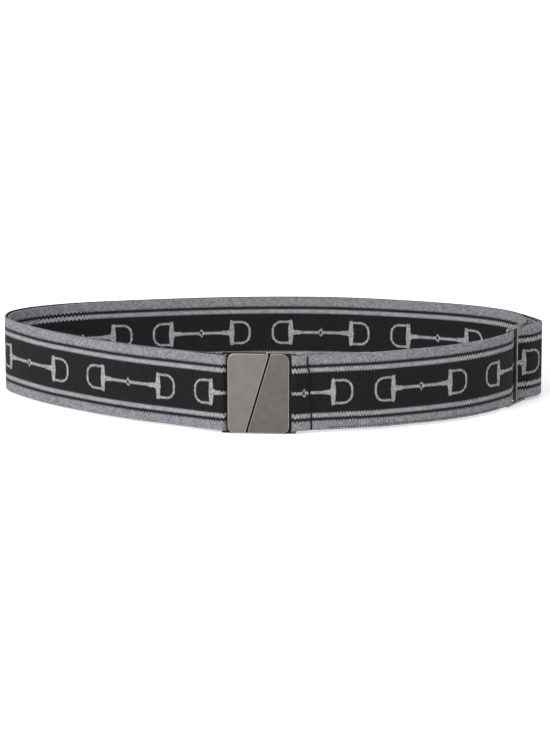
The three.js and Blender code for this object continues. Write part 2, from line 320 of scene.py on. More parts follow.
def lift_at(point):
    """How far the lower edge of the strap stands above the floor."""
    right = point.x - BUCKLE["x"]
    back = point.y - BUCKLE["y"]
    return max(0.0, LIFT["at_buckle"] + LIFT["per_mm_right"] * right + LIFT["per_mm_back"] * back)


def stations_of(line, rise_at=lambda run: 0.0):
    runs = distances(line)
    return [{"point": point, "low": lift_at(point) + rise_at(run)} for point, run in zip(line, runs)]


def tail_gap(run):
    return layer_pitch + parting * (1 - smooth(run / RIGHT_TAIL["close_over"]))


def tail_rise(run):
    rises = smooth((run - RIGHT_TAIL["rise_from"]) / RIGHT_TAIL["rise_over"])
    falls = smooth((run - RIGHT_TAIL["fall_from"]) / RIGHT_TAIL["fall_over"])
    return RIGHT_TAIL["rise"] * (rises - falls)


def back_rise(run):
    return sum(add * smooth((run - start) / over) for start, over, add in BACK_RISES)


backwards = outer[::-1]
far_bar = slide_point(1, slide_reach + layer_pitch)
far_index = min(range(len(backwards)), key=lambda i: (backwards[i] - far_bar).length)
inner_line = backwards[: far_index + 1]
inner_length = distances(inner_line)[-1]


def inner_gap(run):
    left = inner_length - run
    from_buckle = parting * (1 - smooth(run / INNER_CLOSE_OVER))
    over_end = layer_pitch * (1 - smooth((left - SLIDE_TAIL["length"]) / SLIDE_TAIL["step_over"]))
    to_bar = slide_parting * (1 - smooth(left / SLIDE_TAIL["close_over"]))
    return layer_pitch + from_buckle + over_end + to_bar


def inner_dip(run):
    """Behind the slide the sewn end pushes the inner layer down a little."""
    left = inner_length - run
    ends_again = smooth((left - INNER_DIP["until"]) / INNER_DIP["end_over"])
    return -INNER_DIP["most"] * smooth(left / INNER_DIP["over"]) * (1 - ends_again)


right_tail = stations_of(beside(up_to(outer, RIGHT_TAIL["length"]), tail_gap), tail_rise)
right_wrap = stations_of(wrap_round(right_bar, bar_reach, right_touch - math.pi, right_touch))
outer_layer = stations_of(outer, back_rise)
left_wrap = stations_of(wrap_round(left_bar, bar_reach, left_touch, left_touch + math.pi))
inner_layer = stations_of(beside(inner_line, lambda run: -inner_gap(run)), inner_dip)
inside = SLIDE["turn"] + math.pi / 2
far_wrap = stations_of(wrap_round(slide_point(1, 0), slide_reach, inside, inside + math.pi))
onward = outer[len(outer) - 1 - far_index:]
sewn_end = stations_of(beside(up_to(onward, SLIDE_TAIL["length"]), lambda run: layer_pitch))
stations = [
    *right_tail[:0:-1],
    *right_wrap,
    *outer_layer[1:-1],
    *left_wrap,
    *inner_layer[1:-1],
    *far_wrap,
    *sewn_end[1:],
]
strap_line = [station["point"] for station in stations]
strap_runs = distances(strap_line)
strap_sides = sideways(strap_line)
outer_starts = strap_runs[len(right_tail) - 1 + WRAP_STEPS]
print(f"the strap is {strap_runs[-1]:.0f} mm long, in {len(stations)} stations")

# %% [markdown]
# ## Where the woven row of snaffle bits falls
# The loom wove one bit every 67.5 mm. On a fastened belt the elastic is pulled more in some places
# than in others, so the bits lie a little closer or wider. The table gives, for some bits,
# where the outside of each ring, each cheek bar and the middle joint lie, in millimetres along
# the outer layer from the right bar. Between two marks the weave is stretched evenly.

# %% Where each bit lies
BIT_REPEAT = 67.5
MARK_PLACES = [-28.0, -17.3, 0.0, 17.3, 28.0]
BIT_MARKS = {
    0: [None, None, 4.1, 19.6, 30.2],
    1: [41.7, 52.1, 67.9, 85.0, 95.9],
    2: [109.6, 120.2, None, 153.0, 165.5],
    8: [514.7, 524.4, 543.0, 563.2, 574.5],
    9: [588.0, 599.7, 616.5, 635.3, 645.4],
    10: [657.3, 667.2, None, None, None],
    13: [858.0, 869.0, 895.3, None, None],
    14: [935.3, 945.9, 962.9, 980.0, 990.6],
    15: [1002.6, 1013.3, 1030.4, 1047.6, 1058.2],
    16: [1070.3, 1080.7, 1098.0, 1115.1, 1125.4],
}
marks = [
    (along, BIT_REPEAT * bit + place)
    for bit, row in BIT_MARKS.items()
    for place, along in zip(MARK_PLACES, row)
    if along is not None
]


def woven_position(run):
    """Millimetres along the unstretched weave, from the distance along the fastened strap."""
    along = run - outer_starts
    if along <= marks[0][0]:
        return marks[0][1] + along - marks[0][0]
    for (start, woven), (end, next_woven) in zip(marks, marks[1:]):
        if along <= end:
            return woven + (next_woven - woven) * (along - start) / (end - start)
    return marks[-1][1] + along - marks[-1][0]


stretch = strap_runs[-1] / (woven_position(strap_runs[-1]) - woven_position(0))
print(f"the strap is stretched {stretch:.3f} times on average")

# %% [markdown]
# ## The strap itself
# Webbing is flat before it is worn. So the strip starts flat: a long block with its four long edges
# rounded, cut across once for each station. Then every cut is carried to its station and turned
# with the route. An attribute remembers where each point was on the flat strip, and the weave is
# drawn on that, so it follows every bend. A Curve modifier would bend the strip too, but it would
# not keep the two layers parallel at the bars.

# %% The flat strip, laid along its route
SELVEDGE_ROUNDING = 0.45
SELVEDGE_SEGMENTS = 3
HOLDING_ROW = 0.9
SEAM = {"along": 7.2, "skew": 0.055, "pull": 0.5, "width": 1.0}


def round_off(bm, geom, offset, segments, affect="EDGES", clamp=False):
    """Rounds edges or corners, and returns the faces that this makes."""
    made = bmesh.ops.bevel(
        bm,
        geom=geom,
        offset=offset,
        affect=affect,
        segments=segments,
        profile=0.5,
        material=-1,
        clamp_overlap=clamp,
    )
    return made["faces"]


def long_edges(bm):
    return [e for e in bm.edges if abs(e.verts[0].co.x - e.verts[1].co.x) > 0.5]


def flat_strip(bm, cuts):
    """A strip one unit long, with rounded long edges and a row of faces for each cut."""
    bmesh.ops.create_cube(bm, size=1.0)
    bmesh.ops.scale(bm, vec=(1.0, STRAP["thick"], STRAP["width"]), verts=bm.verts)
    bmesh.ops.translate(bm, vec=(0.5, 0, 0), verts=bm.verts)
    round_off(bm, long_edges(bm), SELVEDGE_ROUNDING, SELVEDGE_SEGMENTS)
    for height in (STRAP["width"] / 2 - HOLDING_ROW, HOLDING_ROW - STRAP["width"] / 2):
        everything = bm.verts[:] + bm.edges[:] + bm.faces[:]
        bmesh.ops.bisect_plane(bm, geom=everything, plane_co=(0, 0, height), plane_no=(0, 0, 1))
    bmesh.ops.subdivide_edges(bm, edges=long_edges(bm), cuts=cuts, use_grid_fill=True)


def seam_pull(run, height):
    """How far the seam's thread pulls the outer layer in at that place."""
    across = run - outer_starts - SEAM["along"] + SEAM["skew"] * height
    return SEAM["pull"] * math.exp(-((across / SEAM["width"]) ** 2))


def lay_strip(bm):
    """Carries each cut of the flat strip to its station, and writes where it came from."""
    woven = bm.verts.layers.float_vector.new("woven")
    last = len(stations) - 1
    for vert in bm.verts:
        index = round(vert.co.x * last)
        depth, height = vert.co.y, vert.co.z
        vert[woven] = (woven_position(strap_runs[index]), height, depth)
        if depth < 0:
            depth += seam_pull(strap_runs[index], height)
        place = strap_line[index] + strap_sides[index] * depth
        vert.co = (place.x, place.y, stations[index]["low"] + STRAP["width"] / 2 + height)


def finish_piece(bm, name, material):
    """Turns a bmesh in millimetres into a finished object in metres that rides on the belt."""
    bmesh.ops.recalc_face_normals(bm, faces=bm.faces)
    bmesh.ops.scale(bm, vec=(MM, MM, MM), verts=bm.verts)
    # Cloth and thread are smooth. Castings are smooth on their rims alone, so that they look machined
    rim_wear_and_shade = bm.faces.layers.float.get("rim_wear_and_shade")
    for face in bm.faces:
        face.smooth = rim_wear_and_shade is None or face[rim_wear_and_shade] > 0.0
    obj = mesh_object(name, bm, material)
    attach(obj, "root")
    print(f"{name}: {len(obj.data.polygons)} faces")
    return obj


# %% [markdown]
# ## Formulas as nodes
# Weaves are drawn with arithmetic, and a shader tree does arithmetic one Math node at a time.
# A small class lets a formula be written as one line: each sign between two signals adds a node.

# %% Signals
def feed(tree, socket, value):
    """Links a signal to a socket, or sets the socket to a number."""
    if isinstance(value, Signal):
        tree.links.new(value.socket, socket)
    else:
        socket.default_value = value


class Signal:
    """A number that changes over a surface: the output of a node, ready for arithmetic."""

    def __init__(self, tree, socket):
        self.tree = tree
        self.socket = socket

    def math(self, operation, *others):
        node = self.tree.nodes.new("ShaderNodeMath")
        node.operation = operation
        for place, value in enumerate((self, *others)):
            feed(self.tree, node.inputs[place], value)
        return Signal(self.tree, node.outputs[0])

    def __add__(self, other):
        return self.math("ADD", other)

    def __sub__(self, other):
        return self.math("SUBTRACT", other)

    def __mul__(self, other):
        return self.math("MULTIPLY", other)

    def __truediv__(self, other):
        return self.math("DIVIDE", other)

    def __abs__(self):
        return self.math("ABSOLUTE")

    def either(self, other):
        """The larger of two masks."""
        return self.math("MAXIMUM", other)

    def both(self, other):
        """The smaller of two masks."""
        return self.math("MINIMUM", other)

    def flipped(self):
        return self * -1.0 + 1.0

    def below(self, limit, blur):
        """1 where the signal is under the limit, 0 above it, with a soft step that wide."""
        node = self.tree.nodes.new("ShaderNodeMapRange")
        set_inputs(node, {"To Min": 1.0, "To Max": 0.0})
        feed(self.tree, node.inputs["Value"], self)
        feed(self.tree, node.inputs["From Min"], limit - blur / 2)
        feed(self.tree, node.inputs["From Max"], limit + blur / 2)
        return Signal(self.tree, node.outputs["Result"])

    def wave(self, period):
        """A zigzag from 0 to 1 and back in each period."""
        return self.math("PINGPONG", period / 2) * (2.0 / period)


def parts_of(tree, vector):
    """The three numbers of a vector."""
    split = tree.nodes.new("ShaderNodeSeparateXYZ")
    tree.links.new(vector, split.inputs[0])
    return [Signal(tree, split.outputs[axis]) for axis in "XYZ"]


def new_group(name, inputs, outputs):
    """A node group with named sockets. Inputs are (name, kind, default)."""
    group = bpy.data.node_groups.new(name, "ShaderNodeTree")
    for label, kind, default in inputs:
        made = group.interface.new_socket(label, in_out="INPUT", socket_type=kind)
        made.default_value = default
    for label, kind in outputs:
        group.interface.new_socket(label, in_out="OUTPUT", socket_type=kind)
    source = group.nodes.new("NodeGroupInput")
    result = group.nodes.new("NodeGroupOutput")
    return group, source, result


def use_group(tree, group, **values):
    """Places a group in a tree. Values are numbers or signals, named as its inputs are."""
    node = tree.nodes.new("ShaderNodeGroup")
    node.node_tree = group
    for name, value in values.items():
        feed(tree, node.inputs[name.replace("_", " ")], value)
    return node


FLOAT = "NodeSocketFloat"

# %% [markdown]
# ## Threads
# Every woven or sewn surface here is made of threads that dive under each other.
# Close up, each thread shows as a short rounded pad, and the pads of neighbouring rows are staggered
# like bricks. One group makes this for both the strap and the sewing thread. It gives the
# height of the pads for a Bump node, and a shade that differs from pad to pad.

# %% Thread group
DOME_POWERS = {"lengthways": 3.0, "crossways": 2.0}
SHADE_MIX = {"dome": 0.35, "chance": 0.65}


def make_thread_group():
    inputs = [
        ("Along", FLOAT, 0.0),
        ("Across", FLOAT, 0.0),
        ("Pad length", FLOAT, 1.0),
        ("Pad width", FLOAT, 0.6),
    ]
    group, source, result = new_group("Threads", inputs, [("Height", FLOAT), ("Shade", FLOAT)])
    along, across, length, width = (Signal(group, source.outputs[name]) for name, _, _ in inputs)
    row = (across / width).math("FLOOR")
    shifted = along / length + row * 0.5
    pad = shifted.math("FLOOR")
    lengthways = abs(shifted.math("FRACT") - 0.5) * 2.0
    crossways = abs((across / width).math("FRACT") - 0.5) * 2.0
    long_dome = lengthways.math("POWER", DOME_POWERS["lengthways"]).flipped()
    dome = long_dome * crossways.math("POWER", DOME_POWERS["crossways"]).flipped()
    combine = group.nodes.new("ShaderNodeCombineXYZ")
    group.links.new(pad.socket, combine.inputs["X"])
    group.links.new(row.socket, combine.inputs["Y"])
    chance = group.nodes.new("ShaderNodeTexWhiteNoise")
    chance.noise_dimensions = "2D"
    group.links.new(combine.outputs[0], chance.inputs["Vector"])
    group.links.new(dome.socket, result.inputs["Height"])
    luck = Signal(group, chance.outputs["Value"])
    shade = dome * SHADE_MIX["dome"] + luck * SHADE_MIX["chance"]
    group.links.new(shade.socket, result.inputs["Shade"])
    return group


thread_group = make_thread_group()
print("group made:", thread_group.name)

# %% [markdown]
# ## The snaffle bit, charted for the loom
# A snaffle bit is a horse's mouthpiece: two D rings joined by a jointed bar. It is an old pattern for
# belts and scarves. It could be drawn as an image, but a formula stays sharp at any size.
# The chart is measured from the middle joint outwards, and mirrored, so half a bit is enough.
# Each shape is a distance, and a thread row is light where the distance says it is inside.

# %% Snaffle bit group
RING = {"middle": 22.5, "half_width": 5.5, "half_height": 6.6, "outer_corner": 5.4}
RING.update(inner_corner=0.7, line=1.12)
CHEEK = {"middle": 17.3, "half_width": 0.85, "swell": 0.65, "half_height": 7.05}
MOUTHPIECE = {"half_height": 0.74, "collar_from": 11.8, "collar": 0.42}
MOUTHPIECE.update(flare_from=14.4, flare_to=16.4, flare=1.2)
JOINT = {"reach": 2.4, "narrow": 1.25, "hole": 1.35, "dot_at": 0.6, "dot": 0.42}
STEP_BLUR = 0.16


def ring_shape(along, across):
    """The D ring: a rounded box, rounder at its far end, of which only the line shows."""
    outside = (along - RING["middle"]).math("GREATER_THAN", 0.0)
    corner = outside * (RING["outer_corner"] - RING["inner_corner"]) + RING["inner_corner"]
    x = abs(along - RING["middle"]) - RING["half_width"] + corner
    y = abs(across) - RING["half_height"] + corner
    x_out, y_out = x.either(0.0), y.either(0.0)
    reach = (x_out * x_out + y_out * y_out).math("SQRT")
    edge = reach + x.either(y).both(0.0) - corner
    return edge.below(0.0, STEP_BLUR).both(edge.below(-RING["line"], STEP_BLUR).flipped())


def cheek_shape(along, across):
    """The straight bar of the D, swelling towards its middle."""
    swell = (abs(across) / CHEEK["half_height"]).flipped() * CHEEK["swell"]
    bar = abs(along - CHEEK["middle"]) - swell
    ends = abs(across).below(CHEEK["half_height"], STEP_BLUR)
    return bar.below(CHEEK["half_width"], STEP_BLUR).both(ends)


def mouthpiece_shape(along, across):
    """The bar in the mouth, with a collar and a flare where it meets the D."""
    collar = along.below(MOUTHPIECE["collar_from"], STEP_BLUR).flipped() * MOUTHPIECE["collar"]
    length = MOUTHPIECE["flare_to"] - MOUTHPIECE["flare_from"]
    share = ((along - MOUTHPIECE["flare_from"]) / length).either(0.0).both(1.0)
    half = share * share * MOUTHPIECE["flare"] + collar
    inside_ring = along.below(CHEEK["middle"], STEP_BLUR)
    return (abs(across) - half).below(MOUTHPIECE["half_height"], STEP_BLUR).both(inside_ring)


def make_bit_group():
    inputs = [("Along", FLOAT, 0.0), ("Across", FLOAT, 0.0), ("Repeat", FLOAT, BIT_REPEAT)]
    group, source, result = new_group("Snaffle bit", inputs, [("Mask", FLOAT)])
    woven, across, repeat = (Signal(group, source.outputs[name]) for name, _, _ in inputs)
    turns = woven / repeat + 0.5
    signed = (turns.math("FLOOR").math("MULTIPLY", repeat) - woven) * -1.0
    along = abs(signed)
    diamond = along * JOINT["narrow"] + abs(across)
    hole = diamond.below(JOINT["hole"], STEP_BLUR)
    dot_x = signed - JOINT["dot_at"]
    dot = (dot_x * dot_x + across * across).math("SQRT").below(JOINT["dot"], STEP_BLUR)
    bars = mouthpiece_shape(along, across).either(diamond.below(JOINT["reach"], STEP_BLUR))
    middle = bars.both(hole.flipped()).either(dot)
    mask = middle.either(ring_shape(along, across)).either(cheek_shape(along, across))
    group.links.new(mask.socket, result.inputs["Mask"])
    return group


bit_group = make_bit_group()
print("group made:", bit_group.name)

# %% [markdown]
# ## The webbing's finish
# Light and dark threads cross in the same cloth: where the face is light, the reverse is dark.
# From the middle out, the face has a dark field with the bits, a thin light stripe, a thin dark
# line and a broad light edge. Every border is toothed, because a thread either shows or it doesn't.
# The light threads are lilac grey at the edge and more neutral in the stripe.

# %% Webbing material
STRIPES = {"field": 11.0, "light_line": 13.15, "dark_line": 15.0}
TOOTH = {"pitch": 1.59, "depth": 0.78, "across_pitch": 0.9, "across_depth": 0.3}
BIT_TOOTH = 0.6
TWILL = {"pitch": 1.45, "darker": 0.18}
STITCH_LINE = {"height": -18.65, "half_width": 0.4, "pitch": 1.59, "darker": 0.9}
STITCH_LINE.update(middle=67.0, half_length=51.0)
SEWN_END_TURNS = -8.0
FACE_ENDS = 0.25 * STRAP["thick"]
PADS = {"Pad_length": 1.1, "Pad_width": 0.7}
PAD_RELIEF = 0.16 * MM
BRIGHTNESS = {"least": 0.52, "by_shade": 0.9}
CLOTH_SHINE = {"Roughness": 0.85, "Specular IOR Level": 0.1}
SHEEN = {"Sheen Weight": 0.03, "Sheen Roughness": 0.5}
DARK_THREAD = (0.0085, 0.0085, 0.0100)
EDGE_THREAD = (0.196, 0.190, 0.211)
LINE_THREAD = (0.286, 0.283, 0.293)


def mix_colors(tree, factor, first, second, blend="MIX"):
    """One colour or another by a factor. Colours are sockets or plain colours."""
    node = tree.nodes.new("ShaderNodeMix")
    node.data_type = "RGBA"
    node.blend_type = blend
    sockets = [s for s in node.inputs if s.type == "RGBA"]
    feed(tree, node.inputs["Factor"], factor)
    for socket, value in zip(sockets, (first, second)):
        if isinstance(value, bpy.types.NodeSocket):
            tree.links.new(value, socket)
        else:
            socket.default_value = (*value, 1.0)
    return next(s for s in node.outputs if s.type == "RGBA")


def shaded(tree, color, brightness):
    """The colour times a brightness."""
    gray = tree.nodes.new("ShaderNodeCombineColor")
    for channel in gray.inputs:
        tree.links.new(brightness.socket, channel)
    return mix_colors(tree, 1.0, color, gray.outputs[0], blend="MULTIPLY")


def add_surface(tree, shader, color, height, relief):
    """Gives a shader its colour, and bumps as high as the relief."""
    node = tree.nodes.new("ShaderNodeBump")
    set_inputs(node, {"Distance": relief, "Strength": 1.0})
    tree.links.new(height.socket, node.inputs["Height"])
    tree.links.new(node.outputs["Normal"], shader.inputs["Normal"])
    tree.links.new(color, shader.inputs["Base Color"])


def make_webbing():
    material, tree, shader = new_material("woven_elastic")
    woven = tree.nodes.new("ShaderNodeAttribute")
    woven.attribute_name = "woven"
    along, across, depth = parts_of(tree, woven.outputs["Vector"])

    # A border between two colours steps up and down with the threads
    zigzag = along.wave(TOOTH["pitch"]) * 2.0 - 1.0
    tooth = zigzag.either(-0.5).both(0.5) * TOOTH["depth"]
    side_tooth = (across.wave(TOOTH["across_pitch"]) - 0.5) * TOOTH["across_depth"]
    height = abs(across) + tooth
    bit = use_group(tree, bit_group, Along=along + side_tooth, Across=across + tooth * BIT_TOOTH)
    in_field = height.below(STRIPES["field"], STEP_BLUR)
    in_line = height.below(STRIPES["light_line"], STEP_BLUR)
    in_dark_line = height.below(STRIPES["dark_line"], STEP_BLUR)
    light = in_dark_line.flipped().either(in_line.both(in_field.flipped()))
    light = light.either(Signal(tree, bit.outputs["Mask"]).both(in_field))

    # The face takes the outer three quarters of the strap's thickness, and the reverse is its
    # negative. The short sewn end inside the right front is told apart by its place, and is all face
    face = depth.below(FACE_ENDS, 0.1).either(along.below(SEWN_END_TURNS, 1.0))
    shown = light.both(face).either(light.flipped().both(face.flipped()))

    threads = use_group(tree, thread_group, Along=along, Across=across, **PADS)
    shade = Signal(tree, threads.outputs["Shade"])
    light_thread = mix_colors(tree, in_dark_line, EDGE_THREAD, LINE_THREAD)
    color = mix_colors(tree, shown, DARK_THREAD, light_thread)

    # A row of holding stitches runs above the lower edge of the right front
    near = abs(across - STITCH_LINE["height"]).below(STITCH_LINE["half_width"], 0.2)
    stitched = abs(along - STITCH_LINE["middle"]).below(STITCH_LINE["half_length"], 2.0)
    stitch = near.both(stitched).both(along.wave(STITCH_LINE["pitch"]).below(0.5, 0.3))

    # The stripe and the bits are woven as twill, so they are hatched on a slant
    hatch = (along + across).wave(TWILL["pitch"]).both(shown).both(in_dark_line)
    brightness = shade * BRIGHTNESS["by_shade"] + BRIGHTNESS["least"]
    brightness = brightness * (stitch * STITCH_LINE["darker"]).flipped()
    brightness = brightness * (hatch * TWILL["darker"]).flipped()
    pads = Signal(tree, threads.outputs["Height"])
    add_surface(tree, shader, shaded(tree, color, brightness), pads, PAD_RELIEF)
    set_inputs(shader, CLOTH_SHINE | SHEEN)
    return material


webbing = make_webbing()
print("material made:", webbing.name)

# %% Cut the strap and lay it
def make_strap():
    bm = bmesh.new()
    flat_strip(bm, cuts=len(stations) - 2)
    lay_strip(bm)
    return finish_piece(bm, "webbing_strap", webbing)


strap = make_strap()
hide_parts("strap")

# %% [markdown]
# ## Sewing
# Thick black thread closes both sewn ends: a seam beside the buckle, right through the strap, and
# five rows behind the slide. A stitch is a short thread that dives in at both ends.
# Each one is a small rounded bar. A row of them is cheaper and truer than a painted line,
# because it catches the light and leaves a shadow.

# %% Sewing thread
THREAD = {"radius": 0.5, "sides": 6, "pitch": 2.85, "space": 0.2, "proud": 0.3}
THREAD.update(from_edge=0.5, end_inset=0.225, end_bulge=0.12)
SLIDE_SEAMS = [11.5, 14.0, 16.5, 19.0, 21.5]
DARK_STRAND = (0.002, 0.002, 0.003)
LIGHT_STRAND = (0.009, 0.009, 0.011)
STRAND = {"Pad_length": 0.7, "Pad_width": 0.3}
STRAND_RELIEF = 0.06 * MM
STRAND_SHINE = {"Roughness": 0.7, "Specular IOR Level": 0.15}


def make_thread_material():
    material, tree, shader = new_material("black_thread")
    place = tree.nodes.new("ShaderNodeTexCoord")
    x, _, z = parts_of(tree, place.outputs["Object"])
    along = z / MM
    slant = x / MM + along
    twist = use_group(tree, thread_group, Along=along, Across=slant, **STRAND)
    shade = Signal(tree, twist.outputs["Shade"])
    height = Signal(tree, twist.outputs["Height"])
    color = mix_colors(tree, shade, DARK_STRAND, LIGHT_STRAND)
    add_surface(tree, shader, color, height, STRAND_RELIEF)
    set_inputs(shader, STRAND_SHINE)
    return material


def add_stitch(bm, start, end):
    """One stitch: a six-sided bar from start to end with its ends drawn in."""
    way = end - start
    turned = way.to_track_quat("Z", "Y").to_matrix().to_4x4()
    made = bmesh.ops.create_cone(
        bm,
        cap_ends=True,
        segments=THREAD["sides"],
        radius1=THREAD["radius"],
        radius2=THREAD["radius"],
        depth=way.length,
        matrix=Matrix.Translation((start + end) / 2) @ turned,
    )
    faces = {face for vert in made["verts"] for face in vert.link_faces}
    caps = [face for face in faces if len(face.verts) == THREAD["sides"]]
    bmesh.ops.inset_region(bm, faces=caps, thickness=THREAD["end_inset"], depth=THREAD["end_bulge"])


def strap_place(run, height):
    """A point for a thread on the face of the strap."""
    index = min(range(len(strap_runs)), key=lambda i: abs(strap_runs[i] - run))
    out = STRAP["thick"] / 2 - THREAD["radius"] + THREAD["proud"]
    place = strap_line[index] - strap_sides[index] * out
    return Vector((place.x, place.y, stations[index]["low"] + STRAP["width"] / 2 + height))


def add_seam(bm, run, skew):
    """A row of stitches across the face of the strap."""
    half = STRAP["width"] / 2 - THREAD["from_edge"]
    count = round(2 * half / THREAD["pitch"])
    for k in range(count):
        ends = [half * (2 * end / count - 1) for end in (k, k + 1)]
        ends[1] -= THREAD["space"]
        add_stitch(bm, *(strap_place(run - skew * height, height) for height in ends))


def make_seams():
    thread = make_thread_material()
    bm = bmesh.new()
    add_seam(bm, outer_starts + SEAM["along"], SEAM["skew"])
    finish_piece(bm, "seam_beside_buckle", thread)
    bm = bmesh.new()
    far_wrap_starts = strap_runs[len(stations) - len(sewn_end) - WRAP_STEPS]
    for back in SLIDE_SEAMS:
        add_seam(bm, far_wrap_starts - back, 0.0)
    finish_piece(bm, "seam_by_slide", thread)


make_seams()

# %% [markdown]
# ## Old pewter
# The buckle and slide are cast and finished to look old: a satin grey with soft cloudy patches,
# and rubbed bright along the edges where cloth and fingers touch it. The right face of the buckle is
# painted darker than the left, and the frames behind the faces nearly black, as painted shade.
# Rounded edges are marked with an attribute as they are bevelled, and the finish reads it. On the
# slide it is the other way round: its rims are painted dark as painted shade, and its flats light as a
# painted highlight.
# One group gives the clouds and fine grain to all metal pieces, each with its own values.

# %% Metal group
NOISE_ROUGHNESS = 0.6
CLOUD_DETAIL = 4.0
GRAIN_DETAIL = 2.0
WEAR_AND_SHADE_BY_GRAIN = {"least": 0.75, "by_grain": 0.5}
RELIEF_MIX = {"grain": 0.6, "clouds": 0.4}


def make_metal_group():
    inputs = [
        ("Cloud size", FLOAT, 4.0),
        ("Cloud strength", FLOAT, 0.2),
        ("Grain size", FLOAT, 0.35),
        ("Edge wear", FLOAT, 0.5),
    ]
    outputs = [("Tone", FLOAT), ("Wear and shade", FLOAT), ("Height", FLOAT)]
    group, source, result = new_group("Old metal", inputs, outputs)
    cloud_size, cloud_strength, grain_size, edge_wear_and_shade = (
        Signal(group, source.outputs[name]) for name, _, _ in inputs
    )
    place = group.nodes.new("ShaderNodeTexCoord")
    rim_wear_and_shade = group.nodes.new("ShaderNodeAttribute")
    rim_wear_and_shade.attribute_name = "rim_wear_and_shade"

    def noise(size, detail):
        node = group.nodes.new("ShaderNodeTexNoise")
        set_inputs(node, {"Detail": detail, "Roughness": NOISE_ROUGHNESS})
        group.links.new(place.outputs["Object"], node.inputs["Vector"])
        scale = (size * MM).math("POWER", -1.0)
        group.links.new(scale.socket, node.inputs["Scale"])
        return Signal(group, node.outputs["Fac"])

    clouds = noise(cloud_size, CLOUD_DETAIL)
    grain = noise(grain_size, GRAIN_DETAIL)
    tone = (clouds - 0.5) * cloud_strength * 2.0 + (grain - 0.5) * cloud_strength + 1.0
    # How much rim colour shows: rubbed wear on the buckle, painted shade on the slide's rims
    uneven = grain * WEAR_AND_SHADE_BY_GRAIN["by_grain"] + WEAR_AND_SHADE_BY_GRAIN["least"]
    wear_and_shade = Signal(group, rim_wear_and_shade.outputs["Fac"]) * edge_wear_and_shade * uneven
    height = grain * RELIEF_MIX["grain"] + clouds * RELIEF_MIX["clouds"]
    for label, signal in (("Tone", tone), ("Wear and shade", wear_and_shade), ("Height", height)):
        group.links.new(signal.socket, result.inputs[label])
    return group


metal_group = make_metal_group()
print("group made:", metal_group.name)

# %% Metal materials
METALLIC = 0.9
TONE_TO_ROUGHNESS = -0.35
WORN_SMOOTHER = 0.12
CAST_RELIEF = 0.03 * MM
# Colour, colour of the rims, roughness, cloud size, cloud strength, and how much the rims show
METALS = {
    "old_pewter_left": [(0.178, 0.165, 0.155), (0.40, 0.38, 0.35), 0.45, 5.0, 0.2, 0.75],
    # The right face: the same pewter painted darker, as painted shade
    "old_pewter_painted_shade": [(0.126, 0.115, 0.107), (0.38, 0.36, 0.33), 0.42, 4.0, 0.26, 0.75],
    # The frames behind the faces: nearly black as painted shade of the recess, with rubbed rims
    "old_pewter_behind_painted_shade": [(0.022, 0.020, 0.018), (0.42, 0.39, 0.33), 0.5, 4.0, 0.2, 0.8],
    # The slide: its light body colour is a painted highlight, and its dark rim colour is painted shade
    "dark_pewter": [(0.205, 0.19, 0.17), (0.032, 0.027, 0.022), 0.4, 2.0, 0.6, 0.8],
}


def make_metal(name, color, wear_and_shade_color, roughness, cloud_size, cloud_strength, edge_wear_and_shade):
    material, tree, shader = new_material(name)
    clouds = {"Cloud_size": cloud_size, "Cloud_strength": cloud_strength}
    old = use_group(tree, metal_group, Edge_wear=edge_wear_and_shade, **clouds)
    tone = Signal(tree, old.outputs["Tone"])
    wear_and_shade = Signal(tree, old.outputs["Wear and shade"])
    height = Signal(tree, old.outputs["Height"])
    # The rim colour is rubbed wear on the buckle and painted shade on the slide
    surface = mix_colors(tree, wear_and_shade, shaded(tree, color, tone), wear_and_shade_color)
    add_surface(tree, shader, surface, height, CAST_RELIEF)
    rough = (tone - 1.0) * TONE_TO_ROUGHNESS + roughness - wear_and_shade * WORN_SMOOTHER
    tree.links.new(rough.socket, shader.inputs["Roughness"])
    shader.inputs["Metallic"].default_value = METALLIC
    return material


metals = {name: make_metal(name, *row) for name, row in METALS.items()}
print("metals made:", ", ".join(metals))

# %% [markdown]
# ## Cast plates with slots
# Each metal piece is a flat casting: an outline with rounded corners, some slots for the strap, an even
# thickness and rounded rims. The outline and slots start as a few corner points. A vertex bevel
# rounds each corner, triangle_fill fills between the outline and its slots, an extrusion
# gives the thickness, and an edge bevel rounds every rim. The faces that this bevel makes are
# marked with how much of the rim colour they take: rubbed wear on the buckle, painted shade on the
# slide.

# %% Plate helpers
CORNER_SEGMENTS = 6
RIM_SEGMENTS = 3
# Rims that are not rubbed take almost none of the rim colour, so on the frames they keep the painted
# shade
RIM_IN_PAINTED_SHADE = 0.02
FLAT = math.radians(1)
SHARP = math.radians(50)


def draw_outline(bm, corners):
    """A face with a rounded corner at each row: across, height and corner radius."""
    points = [Vector((across, 0, height)) for across, height, _ in corners]
    made = [bm.verts.new(point) for point in points]
    bm.faces.new(made)
    for i, vert in enumerate(made):
        back = (points[i - 1] - points[i]).normalized()
        onward = (points[(i + 1) % len(points)] - points[i]).normalized()
        reach = corners[i][2] / math.tan(back.angle(onward) / 2)
        round_off(bm, [vert], reach, CORNER_SEGMENTS, affect="VERTICES")


def box_corners(left, right, low, high, radius):
    return [(left, low, radius), (right, low, radius), (right, high, radius), (left, high, radius)]


def thicken(bm, move):
    """Gives the flat faces a thickness, by extruding them along a vector."""
    extruded = bmesh.ops.extrude_face_region(bm, geom=bm.faces[:])["geom"]
    moved = [v for v in extruded if isinstance(v, bmesh.types.BMVert)]
    bmesh.ops.translate(bm, vec=move, verts=moved)
    bmesh.ops.recalc_face_normals(bm, faces=bm.faces)


def everywhere(height):
    return True


